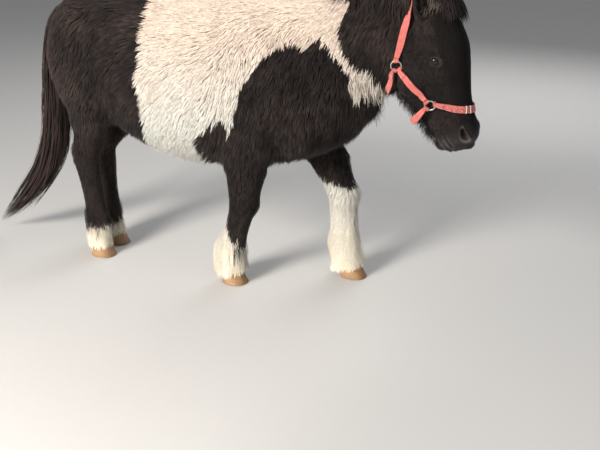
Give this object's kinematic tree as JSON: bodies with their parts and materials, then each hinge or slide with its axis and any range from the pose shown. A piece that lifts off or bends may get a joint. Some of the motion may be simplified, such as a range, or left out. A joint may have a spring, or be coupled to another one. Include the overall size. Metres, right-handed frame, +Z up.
{
  "type": "shetland pony",
  "caption": "Piebald Shetland pony in winter coat, standing in mid step with its head low, wearing a webbing halter with metal rings.",
  "frame": {"origin": "on the ground under the middle of the model's length and width", "axes": "+X the way the pony faces, +Y its left side, +Z up"},
  "size_m": [1.7665, 0.4693, 0.9979],
  "materials": {
    "coat_black": "thick black winter coat with a brown cast",
    "coat_foreleg": "black above, white feathered stocking below",
    "coat_hindleg": "black coat with a white pastern",
    "coat_pied": "thick creamy white winter coat with black patches",
    "eye": "wet dark brown",
    "hoof": "horn, satin, with fine growth lines",
    "long_hair": "long coarse brown-black hair",
    "ring_metal": "plated wire, a little worn",
    "webbing": "coral woven webbing"
  },
  "bodies": {
    "root": {"ear_left": "coat_black", "ear_right": "coat_black", "eye_left": "eye", "eye_right": "eye", "foreleg_left": "coat_foreleg", "foreleg_right": "coat_foreleg", "forelock": "long_hair", "halter_cheek_left": "webbing", "halter_cheek_right": "webbing", "halter_chin": "webbing", "halter_crown": "webbing", "halter_noseband": "webbing", "halter_throat": "webbing", "head": "coat_black", "hindleg_left": "coat_hindleg", "hindleg_right": "coat_hindleg", "hoof_fore_left": "hoof", "hoof_fore_right": "hoof", "hoof_hind_left": "hoof", "hoof_hind_right": "hoof", "mane": "long_hair", "neck": "coat_black", "ring_cheek_left": "ring_metal", "ring_cheek_right": "ring_metal", "ring_nose_left": "ring_metal", "ring_nose_right": "ring_metal", "tail": "long_hair", "torso": "coat_pied"}
  },
  "joints": []
}
